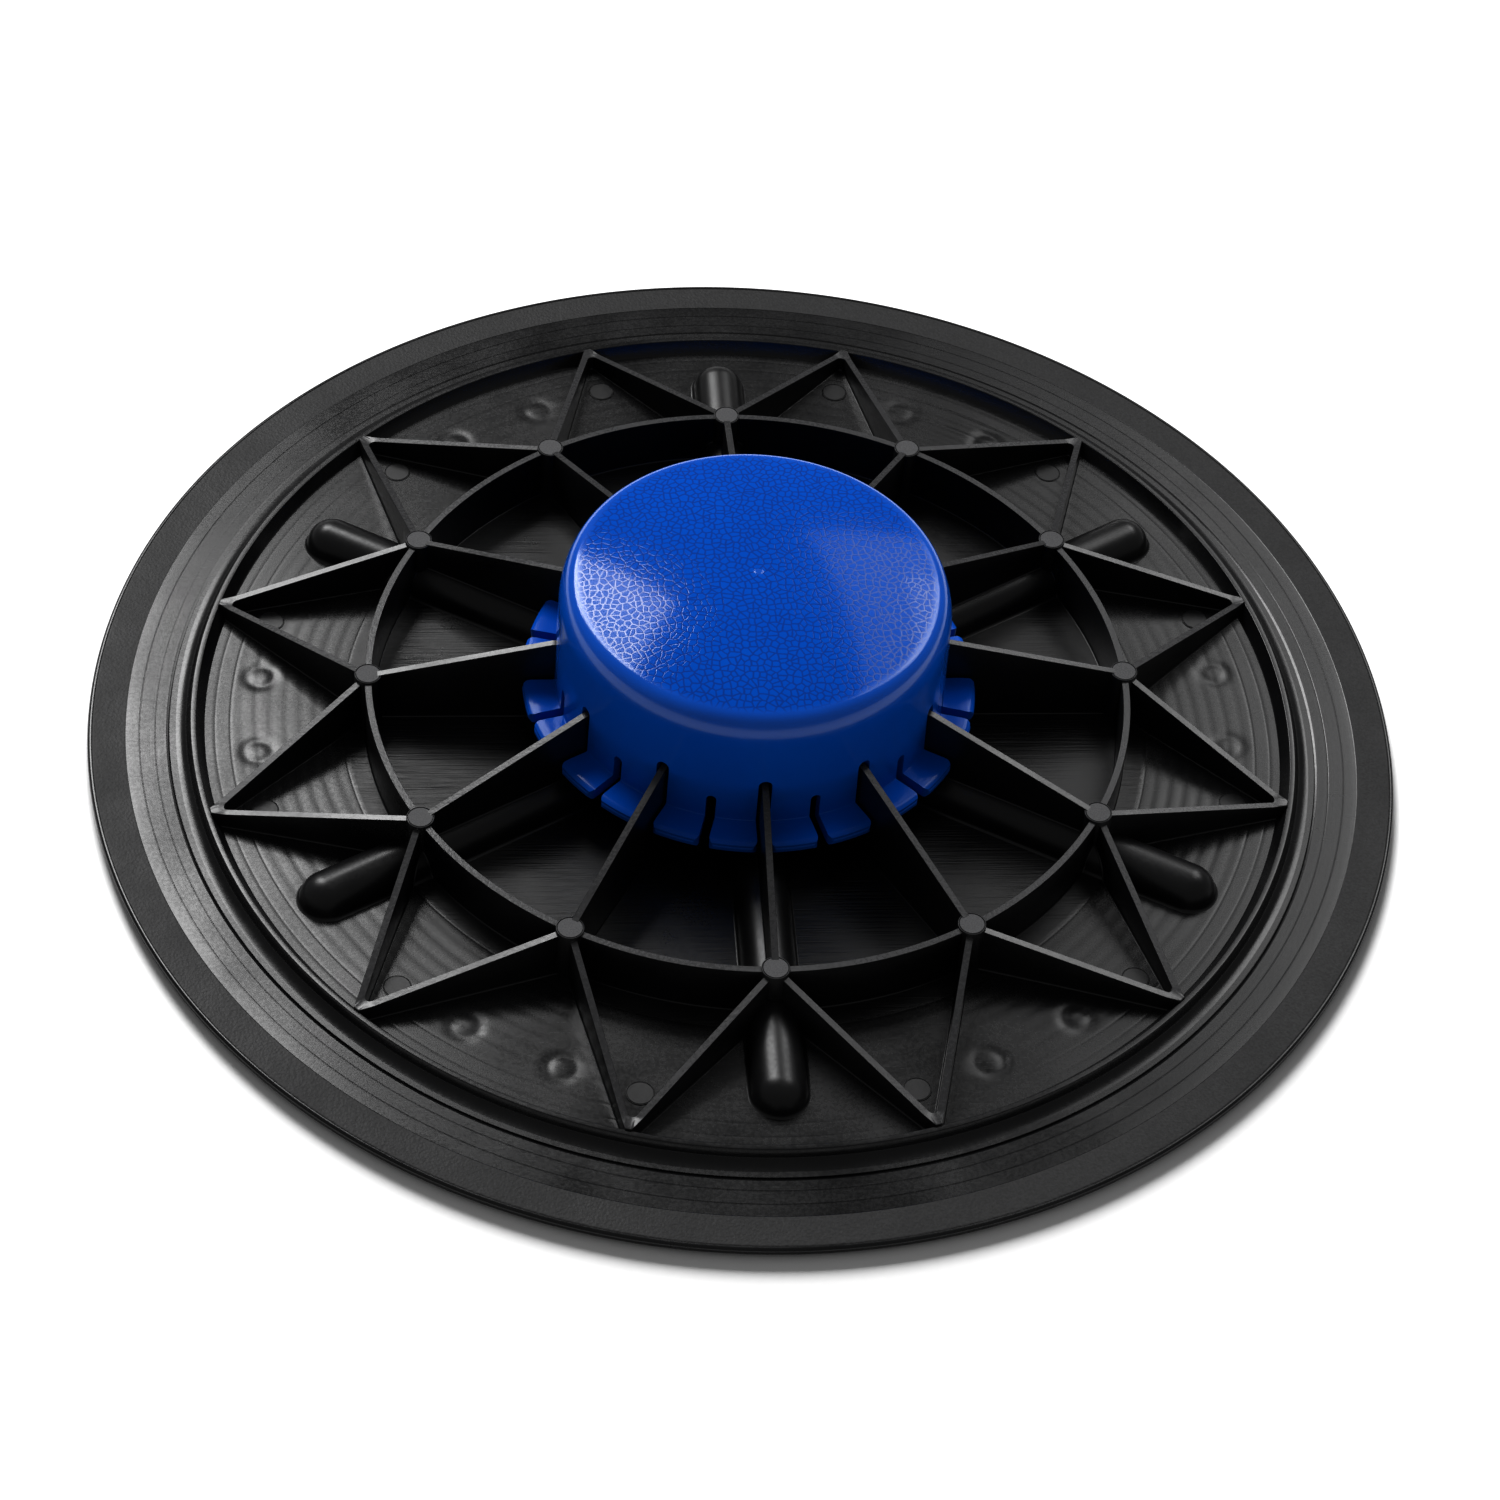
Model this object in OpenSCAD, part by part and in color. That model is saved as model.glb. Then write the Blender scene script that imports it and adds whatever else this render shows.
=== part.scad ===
// Balance dome trainer: a round, rib-backed platform that tips on a lift-off dome.
// It lies on its standing face with the dome up. The origin is the centre of that face.

/* [Platform] */
// Overall diameter of the platform
platform_d = 400; // [380:2:420]
// Thickness of the deck plate
deck_t = 2.4; // [2:0.2:3]
// Height of the grip pattern that the deck rests on
grip_h = 0.8; // [0.6:0.1:1]
// Width of the flat outer band
band_w = 24.6; // [22:0.2:27]
// Width of the band's raised outer part
band_outer_w = 11.4; // [10:0.2:13]
// Height of the band's outer edge above the rest plane
rim_h = 3.6; // [3.4:0.1:4]

/* [Ridge] */
// Height of the annular ridge above the rest plane
ridge_h = 7.4; // [6.5:0.1:8.5]
// Width of the ridge's flat top
ridge_w = 1.8; // [1.4:0.1:2.4]
// Distance from the ridge's top out to the band
cove_w = 6.4; // [6:0.1:7]
// Radius of the hollow between the ridge and the band
cove_r = 5; // [4.6:0.1:5.4]

/* [Ribs] */
// Number of radial ribs, and of star points
rib_n = 12; // [12]
// Thickness of the ribs
rib_t = 2.1; // [1.6:0.1:2.4]
// Radius of the circle of posts and of the ring rib
post_r = 115.4; // [112:0.2:118]
// Diameter of the posts
post_d = 8.2; // [7:0.2:9]
// Rise of the ribs towards the centre, per millimetre
rib_rise = 0.25; // [0.22:0.01:0.27]

/* [Channels] */
// Outer radius of a foot channel's half-round back
channel_r = 8.15; // [7:0.05:9]
// Wall of a foot channel
channel_t = 2.2; // [1.8:0.1:2.6]
// Radius where the channels begin
channel_start = 48; // [44:1:56]
// Radius where the channels end
channel_end = 155; // [152:0.5:158]

/* [Dome] */
// Outer radius of the dome's wall at the level of the rest plane
dome_r = 60; // [58:0.2:62]
// Inward lean of the wall, per millimetre of height
dome_draft = 0.04; // [0.02:0.01:0.06]
// Wall of the dome
dome_t = 3; // [2.6:0.1:3.4]
// Height where the rounded edge of the crown begins
crown_z = 53.4; // [50:0.2:56]
// Radius of the rounded edge of the crown
crown_edge_r = 7; // [5:0.5:9]
// Height of the crown above its rounded edge
crown_rise = 3.6; // [2:0.2:5]
// Radial reach of the feet below the wall
foot_reach = 9.6; // [8:0.2:10]
// Height of the feet's underside
foot_z = 16; // [14:0.5:17]
// Thickness of the feet at their outer edge
foot_t = 2.6; // [2.4:0.1:3]
// Width of the slots that sit on the ribs
deep_slot_w = 4; // [3.6:0.1:4.4]
// Width of the slots of the taller setting
shallow_slot_w = 3; // [2.8:0.1:3.4]
// Height difference between the two settings
setting_step = 8; // [6:0.5:9]

/* [Socket] */
// Outer diameter of the hub socket
socket_od = 24; // [22:0.5:28]
// Diameter of the dome's spigot
spigot_d = 15.4; // [14:0.2:17]
// Radial play between the spigot and the socket
spigot_play = 0.3; // [0.2:0.05:0.4]

/* [Grip pattern] */
// Radius of the inner ring under the deck
inner_ring_r = 36; // [30:1:42]
// Radius of the outer ring under the deck
outer_ring_r = 162; // [160:0.5:165]
// Width of the rings and arcs
grip_w = 3; // [2.4:0.2:4]

/* [Hidden] */
$fn = 96;
ring_fn = 180;
pitch = 360 / rib_n;
channel_n = rib_n / 2;
platform_r = platform_d / 2;
deck_top = grip_h + deck_t;
deck_r = platform_r - band_w;

// Edge radii of the band, and the small steps across its top
band_lower_r = 1.3;
band_upper_r = 1.1;
band_step = 0.3;
crease_h = 0.4;
crease_w = 0.5;

// The ridge's flat top, the foot of its inner flank and the end of its cove
ridge_out = deck_r - cove_w;
ridge_in = ridge_out - ridge_w;
ridge_foot = ridge_in - 2;
cove_lift = 0.1;
cove_angle = 66;

// Outer end of the star's sloping tops, and the height of the posts
star_r = ridge_in - 1;
post_top = rib_z(post_r) + 0.7;
// Wider foot of the ring rib, on each side
ring_flare = 0.2;

// Hub socket: bore, height and floor
socket_r = socket_od / 2;
socket_bore_r = spigot_d / 2 + spigot_play;
socket_h = 46;
socket_floor = 4;

// Dents over the foot nubs, and the round marks in the star's tips
nub_ring_r = 145.5;
nub_angle = 5.6;
nub_taper = 0.8;
dent_r = 5;
dent_h = 0.8;
mark_ring_r = 153;
mark_d = 8.2;
mark_h = 0.2;

// Arcs of the grip pattern between the grooves
arc_rows = [80, 120];

// Dome: tops of the slots and of the slotted skirt, and the feet's section
slot_top = rib_z(dome_r) + 1.1;
skirt_top = slot_top + 0.6;
foot_drop = 1.4;
foot_chamfer = 1.2;
foot_draft = 0.5;
crown_arc = 80;
spigot_base = 20;
spigot_top = crown_z + (crown_edge_r - dome_t) * sin(crown_arc) + crown_rise;

black = "#1c1d1f";
blue = "#0a4bb4";

// Two-digit number at the end of a repeated node's name
function id(i) = str(i < 10 ? "0" : "", i);
// Height of the rib tops at a radius
function rib_z(r) = ridge_h + rib_rise * (star_r - r);
// Outer radius of the dome's wall at a height
function wall_r(z) = dome_r - dome_draft * z;
// Angle of a foot channel
function channel_angle(i) = pitch * (2 * i - 1);
// Points of an arc, from angle a to angle b in n steps
function arc(x, y, r, a, b, n) =
    [for (i = [0:n]) [x + r * cos(a + (b - a) * i / n), y + r * sin(a + (b - a) * i / n)]];
// The same points from last to first
function reversed(points) = [for (i = [len(points) - 1:-1:0]) points[i]];

module polar(a) rotate([0, 0, a]) children();

// A wall that stands on its (distance, height) outline
module upright(points) rotate([90, 0, 0]) linear_extrude(rib_t, center = true) polygon(points);

// Plan of a foot channel: a slot with round ends
module channel_plan(r) {
    translate([channel_start + channel_r, 0]) circle(r);
    translate([channel_end - channel_r, 0]) circle(r);
    translate([channel_start + channel_r, -r])
        square([channel_end - channel_start - 2 * channel_r, 2 * r]);
}

// Half-round bar along a channel, lying on the deck's top
module channel_bar(r) intersection() {
    translate([0, 0, deck_top]) rotate([0, 90, 0]) cylinder(r = r, h = channel_end + 1);
    translate([0, 0, deck_top]) linear_extrude(r + 1) channel_plan(r);
}

module all_channel_bars() for (i = [1:channel_n]) polar(channel_angle(i)) channel_bar(channel_r);

// The six grooves' openings through the plate
module all_grooves() for (i = [1:channel_n]) polar(channel_angle(i)) translate([0, 0, -1])
    linear_extrude(deck_top + 2) channel_plan(channel_r - channel_t);

module all_posts(h) for (i = [1:rib_n]) polar(pitch * (i - 1)) translate([post_r, 0, deck_top])
    cylinder(d = post_d, h = h);

// Places of the nubs under the deck and of the dents over them
module at_nubs() for (i = [1:channel_n], side = [-1, 1])
    polar(2 * pitch * (i - 1) + side * nub_angle) translate([nub_ring_r, 0, 0]) children();

// The flat plate, open below the channels, with dents over the nubs and round marks
module deck_disc() color(black) difference() {
    translate([0, 0, grip_h]) cylinder(r = deck_r, h = deck_t);
    all_grooves();
    at_nubs() dent();
    for (i = [1:rib_n]) polar(pitch * (i - 0.5)) translate([mark_ring_r, 0, deck_top - mark_h])
        cylinder(d = mark_d, h = 1);
}

// A shallow spherical dent in the deck's top
module dent() {
    r = (dent_r * dent_r + dent_h * dent_h) / (2 * dent_h);
    translate([0, 0, deck_top - dent_h + r]) sphere(r);
}

// The flat outer band, stepped up outside, with a rounded edge
module rim_band() color(black) rotate_extrude($fn = ring_fn) polygon(concat(
    [[deck_r, grip_h]],
    arc(platform_r - band_lower_r, grip_h + band_lower_r, band_lower_r, -90, 0, 4),
    arc(platform_r - band_upper_r, rim_h - band_upper_r, band_upper_r, 0, 90, 4),
    [[platform_r - band_outer_w, rim_h - band_step]],
    [[deck_r + crease_w, rim_h - 2 * band_step], [deck_r, rim_h - 2 * band_step - crease_h]]
));

// The ridge round the field, with a concave flank towards the band
module retaining_ridge() color(black) rotate_extrude($fn = ring_fn) polygon(concat(
    [[ridge_foot, deck_top], [deck_r, deck_top]],
    arc(deck_r, deck_top + cove_lift + cove_r, cove_r, -90, -90 - cove_angle, 5),
    [[ridge_out, ridge_h], [ridge_in, ridge_h]]
));

// The wall that joins the posts
module ring_rib() color(black) difference() {
    rotate_extrude($fn = ring_fn) polygon([
        [post_r - rib_t / 2 - ring_flare, deck_top], [post_r + rib_t / 2 + ring_flare, deck_top],
        [post_r + rib_t / 2, rib_z(post_r)], [post_r - rib_t / 2, rib_z(post_r)]
    ]);
    all_posts(post_top);
    all_channel_bars();
}

// The posts, where the ring rib, the radial ribs and the star meet
module rib_posts() color(black) difference() {
    all_posts(post_top - deck_top);
    all_channel_bars();
}

// The tube that takes the dome's spigot
module hub_socket() color(black) translate([0, 0, deck_top]) difference() {
    cylinder(r = socket_r, h = socket_h - deck_top);
    translate([0, 0, socket_floor]) cylinder(r = socket_bore_r, h = socket_h);
}

// A rib from the hub to its post, level under the dome, over a channel where there is one
module radial_rib(i) color(black) difference() {
    polar(pitch * (i - 1)) upright([
        [0, deck_top], [post_r, deck_top], [post_r, rib_z(post_r)], [dome_r, rib_z(dome_r)],
        [0, rib_z(dome_r)]
    ]);
    cylinder(r = socket_r, h = socket_h);
    all_posts(post_top);
    if (i % 2 == 0) polar(pitch * (i - 1)) channel_bar(channel_r);
}

// Two ribs from neighbouring posts to one point on the ridge
module star_point(i) color(black) difference() {
    intersection() {
        polar(pitch * (i - 0.5)) for (side = [-1, 1]) star_wall(side);
        translate([0, 0, deck_top]) ridge_inside();
    }
    all_posts(post_top);
    all_channel_bars();
}

// The room inside the ridge: a cone to the ridge's top, and a cylinder above it
module ridge_inside() {
    cylinder(r1 = ridge_foot, r2 = ridge_in, h = ridge_h - deck_top, $fn = ring_fn);
    translate([0, 0, ridge_h - deck_top]) cylinder(r = ridge_in, h = post_top, $fn = ring_fn);
}

module star_wall(side) {
    post_x = post_r * cos(pitch / 2);
    post_y = post_r * sin(pitch / 2) * side;
    run = norm([star_r - post_x, post_y]);
    end = run + 3;
    translate([post_x, post_y, 0]) polar(atan2(-post_y, star_r - post_x)) upright([
        [0, deck_top], [end, deck_top], [end, ridge_h], [run, ridge_h], [0, rib_z(post_r)]
    ]);
}

// A half-round shell over one groove of the standing face
module foot_channel(i) color(black) polar(channel_angle(i)) difference() {
    channel_bar(channel_r);
    channel_bar(channel_r - channel_t);
}

// A ring under the deck that the platform rests on
module grip_ring(r) color(black) rotate_extrude($fn = ring_fn)
    translate([r - grip_w / 2, 0]) square([grip_w, grip_h]);

// Arcs of the same section, cut by the grooves
module grip_arcs() color(black) difference() {
    for (r = arc_rows) grip_ring(r);
    all_grooves();
}

// Pairs of nubs under the deck
module grip_nubs() color(black) at_nubs() cylinder(r1 = dent_r - nub_taper, r2 = dent_r, h = grip_h);

// Crown outline at a depth below its outside: the rounded edge, then a low parabola to the axis
function crown_outline(depth) =
    let (
        edge = arc(
            wall_r(crown_z) - crown_edge_r, crown_z, crown_edge_r - depth, 0, crown_arc, 7
        ),
        last = edge[len(edge) - 1]
    )
    concat(edge, [for (s = [5:-1:0]) [last[0] * s / 6, last[1] + crown_rise * (1 - s * s / 36)]]);

// The crown, with a seat for the spigot
module dome_crown() color(blue) difference() {
    rotate_extrude($fn = ring_fn) polygon(concat(crown_outline(0), reversed(crown_outline(dome_t))));
    cylinder(d = spigot_d, h = spigot_top);
}

// The closed part of the dome's wall
module dome_wall() color(blue) rotate_extrude($fn = ring_fn) polygon([
    [wall_r(skirt_top) - dome_t, skirt_top], [wall_r(skirt_top), skirt_top],
    [wall_r(crown_z), crown_z], [wall_r(crown_z) - dome_t, crown_z]
]);

// The stem that guides the dome in the platform's hub
module dome_spigot() color(blue) translate([0, 0, spigot_base])
    cylinder(d = spigot_d, h = spigot_top - spigot_base);

// One twelfth of the slotted skirt: two fingers, joined above the slot of the taller setting
module dome_fingers(i) color(blue) polar(pitch * (i - 0.5)) difference() {
    rotate([0, 0, -pitch / 2]) rotate_extrude(angle = pitch, $fn = ring_fn) skirt_section();
    for (side = [-1, 1]) polar(side * pitch / 2) slot(deep_slot_w, slot_top);
    slot(shallow_slot_w, slot_top - setting_step);
}

// Section of the skirt: the wall, and the foot that it turns out to
module skirt_section() {
    foot_end = wall_r(foot_z) + foot_reach;
    polygon([
        [wall_r(foot_z) - dome_t, foot_z], [foot_end - foot_chamfer, foot_z],
        [foot_end, foot_z + foot_chamfer], [foot_end - foot_draft, foot_z + foot_t],
        [wall_r(foot_z), foot_z + foot_t + foot_drop], [wall_r(skirt_top), skirt_top],
        [wall_r(skirt_top) - dome_t, skirt_top]
    ]);
}

// A radial slot with a round top, open at the bottom
module slot(w, top) rotate([90, 0, 90]) linear_extrude(dome_r + foot_reach + 1) {
    translate([0, top - w / 2]) circle(d = w);
    translate([-w / 2, 0]) square([w, top - w / 2]);
}

deck_disc();
rim_band();
retaining_ridge();
ring_rib();
rib_posts();
hub_socket();
grip_ring(inner_ring_r);  // grip_ring_inner
grip_ring(outer_ring_r);  // grip_ring_outer
grip_arcs();
grip_nubs();
for (i = [1:rib_n]) radial_rib(i);
for (i = [1:rib_n]) star_point(i);
for (i = [1:channel_n]) foot_channel(i);
dome_crown();
dome_wall();
dome_spigot();
for (i = [1:rib_n]) dome_fingers(i);
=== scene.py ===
import math

import bmesh
import bpy
import numpy as np
from mathutils import Matrix, Quaternion, Vector


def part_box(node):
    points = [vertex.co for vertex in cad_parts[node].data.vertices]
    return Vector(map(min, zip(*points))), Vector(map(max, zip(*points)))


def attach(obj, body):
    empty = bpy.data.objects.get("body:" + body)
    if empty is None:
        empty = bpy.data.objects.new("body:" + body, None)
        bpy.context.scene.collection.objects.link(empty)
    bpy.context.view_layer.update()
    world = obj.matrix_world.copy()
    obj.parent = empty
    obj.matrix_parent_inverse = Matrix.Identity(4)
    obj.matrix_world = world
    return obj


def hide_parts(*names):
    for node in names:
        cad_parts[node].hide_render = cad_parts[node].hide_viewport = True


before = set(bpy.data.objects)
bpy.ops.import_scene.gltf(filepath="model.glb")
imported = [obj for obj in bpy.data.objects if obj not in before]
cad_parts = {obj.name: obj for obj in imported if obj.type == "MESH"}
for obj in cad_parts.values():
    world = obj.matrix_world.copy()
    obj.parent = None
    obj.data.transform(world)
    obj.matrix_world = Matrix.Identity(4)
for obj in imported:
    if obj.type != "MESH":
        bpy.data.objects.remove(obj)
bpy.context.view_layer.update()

MM = 0.001
WELD = 0.002 * MM

# ---------------------------------------------------------------- platform sizes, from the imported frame
DECK_LO, DECK_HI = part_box("deck_disc")
DECK_R, DECK_TOP, GRIP_H = DECK_HI.x, DECK_HI.z, DECK_LO.z
BAND_LO, BAND_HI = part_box("rim_band")
PLATFORM_R = min(BAND_HI.x, BAND_HI.y, -BAND_LO.x, -BAND_LO.y)
RIM_H = BAND_HI.z
RIDGE_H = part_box("retaining_ridge")[1].z
RIDGE_OUT = DECK_R - 6.4 * MM
RIDGE_IN = RIDGE_OUT - 1.8 * MM
RIB_LO, RIB_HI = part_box("radial_rib_01")
RIB_T = RIB_HI.y - RIB_LO.y
RIB_LEVEL = RIB_HI.z
RIB_RISE, RIB_FOOT_R = 0.25, 166.2 * MM
STAR_TIP = RIDGE_IN - 0.2 * MM
POST_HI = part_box("rib_posts")[1]
POST_TOP = POST_HI.z
POST_RADIUS = 4.1 * MM
POST_R = POST_HI.x - POST_RADIUS
HUB_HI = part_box("hub_socket")[1]
HUB_BORE = 8.0 * MM

# The six grooves in the standing face, whose half-round backs cross the plate.
CHANNEL_LO, CHANNEL_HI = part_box("foot_channel_02")
CHANNEL_RADIUS = CHANNEL_HI.x
CHANNEL_INNER = CHANNEL_RADIUS - 2.2 * MM
CHANNEL_FIRST, CHANNEL_LAST = CHANNEL_LO.y + CHANNEL_RADIUS, CHANNEL_HI.y - CHANNEL_RADIUS

# Marks on the plate and the band: turned lines (the band's as radius and depth), sink waves, pin
# marks, and dents that sit over the nubs.
FLOOR_LINES, LINE_H, LINE_HALF = [123.6 * MM, 157.2 * MM, 161.8 * MM], 0.05 * MM, 0.22 * MM
BAND_LINES = [(179.8 * MM, 0.07 * MM), (184.4 * MM, 0.1 * MM)]
WAVES_FROM, WAVES_TO, WAVES_FADE = 124.5 * MM, 157 * MM, 3 * MM
WAVE_PITCH, WAVE_H, UNEVEN_H = 4.7 * MM, 0.03 * MM, 0.035 * MM
DENT_RING, DENT_ANGLE = 149.3 * MM, math.radians(5.95)
DENT_R, DENT_H = 6.6 * MM, 0.18 * MM
MARK_RING, MARK_H = 151 * MM, 0.2 * MM
NUB_R = 3.6 * MM
GRIP_RINGS, GRIP_ARC_RINGS, GRIP_HALF = (36 * MM, 162 * MM), (80 * MM, 120 * MM), 1.3 * MM

# ---------------------------------------------------------------- dome sizes
# DOME_R is the drafted wall's radius, carried down to height 0. SLOTS holds the width and the top
# of the slots that sit on the ribs, and of the lower ones between them.
SPIGOT_LO, SPIGOT_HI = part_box("dome_spigot")
WALL_LO, WALL_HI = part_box("dome_wall")
CROWN_LO, CROWN_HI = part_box("dome_crown")
FINGER_LO, FINGER_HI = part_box("dome_fingers_01")
DOME_DRAFT = 0.025
DOME_R = WALL_HI.x + 0.5 * MM + DOME_DRAFT * WALL_LO.z
DOME_T = 3.0 * MM
CROWN_Z, CROWN_TOP = CROWN_LO.z, CROWN_HI.z
CROWN_EDGE, SHOULDER = 4.9 * MM, 18.0 * MM
GRAIN_R, GATE_R = 54.5 * MM, 1.25 * MM
WALL_TOP = CROWN_Z - 3.2 * MM
SLOT_TOP = FINGER_HI.z + 1.0 * MM
LOW_SLOT_TOP = SLOT_TOP - 8.0 * MM
SLOTS = [(4.0 * MM, SLOT_TOP), (3.0 * MM, LOW_SLOT_TOP)]
SLOT_REACH = SLOT_TOP + 0.2 * MM
FOOT_Z = FINGER_LO.z
FOOT_TOP = FOOT_Z + 4.0 * MM
FOOT_END = DOME_R - DOME_DRAFT * FOOT_Z + 9.6 * MM

PITCH = math.radians(30)
RIBS = range(1, 13)
CHANNELS = range(1, 7)
RIM_COLUMNS = 480


def rib_height(r):
    """Height of the radial ribs' tops at a radius. They climb from the ridge's height at RIB_FOOT_R
    towards the middle, and are level under the dome."""
    return np.minimum(RIDGE_H + RIB_RISE * (RIB_FOOT_R - r), RIB_LEVEL)


def channel_angle(i):
    """Direction of a channel, under every second radial rib."""
    return PITCH * (2 * i - 1)


# ---------------------------------------------------------------- mesh building
class Shape:
    """Sheets of quads that are welded into one mesh."""

    def __init__(self):
        self.verts, self.faces, self.count = [], [], 0

    def sheet(self, points, wrap=False, skip=None):
        """Adds a grid of points, shape (rows, columns, 3). wrap joins the last column to the first,
        and skip marks the quads to leave out."""
        rows, columns = points.shape[:2]
        index = self.count + np.arange(rows * columns).reshape(rows, columns)
        if wrap:
            index = np.concatenate([index, index[:, :1]], axis=1)
        quads = np.stack([index[:-1, :-1], index[:-1, 1:], index[1:, 1:], index[1:, :-1]], -1)
        if skip is not None:
            quads = quads[~skip]
        self.verts.append(points.reshape(-1, 3))
        self.faces.append(quads.reshape(-1, 4))
        self.count += rows * columns

    def piece(self, name, body, materials, nodes=(), sharp=32, choose=None):
        """Welds the sheets, makes the object, and ties it to the frame. Edges stay sharp above an
        angle of sharp degrees, and choose gives each face's material from its centre."""
        mesh = bpy.data.meshes.new(name)
        mesh.from_pydata(np.concatenate(self.verts).tolist(), [], np.concatenate(self.faces).tolist())
        work = bmesh.new()
        work.from_mesh(mesh)
        bmesh.ops.remove_doubles(work, verts=work.verts, dist=WELD)
        bmesh.ops.dissolve_degenerate(work, edges=work.edges, dist=WELD / 2)
        bmesh.ops.recalc_face_normals(work, faces=work.faces)
        work.to_mesh(mesh)
        work.free()
        for material in materials:
            mesh.materials.append(material)
        mesh.shade_smooth()
        mesh.set_sharp_from_angle(angle=math.radians(sharp))
        if choose:
            for face in mesh.polygons:
                face.material_index = choose(face.center)
        made = bpy.data.objects.new(name, mesh)
        bpy.context.scene.collection.objects.link(made)
        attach(made, body)
        if nodes:
            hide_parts(*nodes)
        return made


def arc(x, y, r, start, stop, steps):
    """Points of an arc, in degrees."""
    angles = np.radians(np.linspace(start, stop, steps + 1))
    return [(x + r * math.cos(a), y + r * math.sin(a)) for a in angles]


def line(a, b, steps):
    """Points from a to b, with both ends."""
    return [tuple(p) for p in np.linspace(a, b, steps + 1)]


def lathe(shape, profile, columns, start=0.0, turn=2 * math.pi):
    """Turns a closed (radius, height) profile round the axis, and closes the ends of a part turn."""
    profile = np.array(list(profile) + [profile[0]])
    whole = turn >= 2 * math.pi
    angles = start + np.linspace(0, turn, columns + (0 if whole else 1), endpoint=not whole)
    r, z = profile[:, :1], profile[:, 1:]
    points = np.stack([r * np.cos(angles), r * np.sin(angles), z + 0 * angles], -1)
    shape.sheet(points, wrap=whole)
    if not whole:
        middle = profile[:-1].mean(0)
        for column in (0, -1):
            fan = np.stack([points[:, column], 0 * points[:, column]], 1)
            a = angles[column]
            fan[:, 1] = (middle[0] * math.cos(a), middle[0] * math.sin(a), middle[1])
            shape.sheet(fan)


def rotated(points, angle):
    """Turns an array of points about Z."""
    c, s = math.cos(angle), math.sin(angle)
    return points @ np.array([[c, s, 0], [-s, c, 0], [0, 0, 1]])


# ---------------------------------------------------------------- the ground that the ribs stand on
def ripple(x, y, seed):
    """Smooth uneven field between about -1 and 1: waves turned by the golden angle, each finer
    than the last."""
    waves, golden_angle, first_pitch = 5, 2.399, 38
    total = 0
    for k in range(waves):
        a = golden_angle * k + seed
        pitch = first_pitch * (1 + 0.37 * k)
        total = total + np.sin(pitch * (x * math.cos(a) + y * math.sin(a)) + 1.7 * k + seed)
    return 1.6 * total / waves


def dent_places():
    """Places of the dents, a pair midway between every two channels."""
    angles = [2 * PITCH * k + side * DENT_ANGLE for k in range(6) for side in (-1, 1)]
    return [(DENT_RING * math.cos(a), DENT_RING * math.sin(a)) for a in angles]


def field_height(x, y):
    """Top of the deck plate: sink waves, turned lines and round dents with a raised middle."""
    r = np.hypot(x, y)
    inside = np.clip((r - WAVES_FROM) / WAVES_FADE, 0, 1) * np.clip((WAVES_TO - r) / WAVES_FADE, 0, 1)
    phase = 2 * math.pi * r / WAVE_PITCH + 1.3 * ripple(x, y, 2.0)
    depth = WAVE_H * (0.75 + 0.35 * ripple(x, y, 5.0))
    z = DECK_TOP + inside * depth * (np.sin(phase) + 0.3 * np.sin(2 * phase + 0.9))
    z = z + UNEVEN_H * ripple(x, y, 9.0)
    for ring in FLOOR_LINES:
        z = z - LINE_H * np.exp(-(((r - ring) / LINE_HALF) ** 2))
    deepest, spread = 0.62 * DENT_R, 0.24 * DENT_R
    for dent_x, dent_y in dent_places():
        d = np.hypot(x - dent_x, y - dent_y)
        z = z - DENT_H * np.exp(-(((d - deepest) / spread) ** 2))
    return z


def channel_distance(x, y):
    """Distance in plan from the middle line of the nearest channel."""
    near = np.full(np.shape(x), 1.0)
    for i in CHANNELS:
        c, s = math.cos(channel_angle(i)), math.sin(channel_angle(i))
        along = np.clip(x * c + y * s, CHANNEL_FIRST, CHANNEL_LAST)
        near = np.minimum(near, np.hypot(x - along * c, y - along * s))
    return near


def ground(x, y):
    """What a rib stands on: the deck, or a channel's back."""
    d = np.minimum(channel_distance(x, y), CHANNEL_RADIUS)
    return DECK_TOP + np.sqrt(CHANNEL_RADIUS ** 2 - d * d)


# ---------------------------------------------------------------- platform
def groove_half_angle(r):
    """Half the angle that a groove's opening takes at radius r, zero past its ends."""
    near, far, rho = CHANNEL_FIRST, CHANNEL_LAST, CHANNEL_INNER
    if r <= near - rho or r >= far + rho:
        return 0.0
    for x, in_round_end in ((near, r < math.hypot(near, rho)), (far, r > math.hypot(far, rho))):
        if in_round_end:
            return math.acos(min(1.0, (r * r + x * x - rho * rho) / (2 * r * x)))
    return math.asin(rho / r)


def deck_rows():
    """Radii of the plate's rows, close together where its top has detail."""
    detail_from, detail_to, coarse, fine, closest = 118, 166, 3.0, 0.85, 0.05
    rows = list(np.arange(0, detail_from, coarse) * MM) + list(np.arange(detail_from, detail_to, fine) * MM)
    rows += [166.5 * MM, 170 * MM, DECK_R]
    for ring in FLOOR_LINES:
        rows += [ring + d * MM for d in (-0.4, -0.15, 0.15, 0.4)]
    bend = CHANNEL_INNER * (1 - np.cos(np.radians(np.arange(0, 91, 15))))
    rows += list(CHANNEL_FIRST - CHANNEL_INNER + bend)
    rows += list(CHANNEL_LAST + CHANNEL_INNER - bend)
    rows = sorted(rows)
    return [r for k, r in enumerate(rows) if k == 0 or r - rows[k - 1] > closest * MM]


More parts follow.
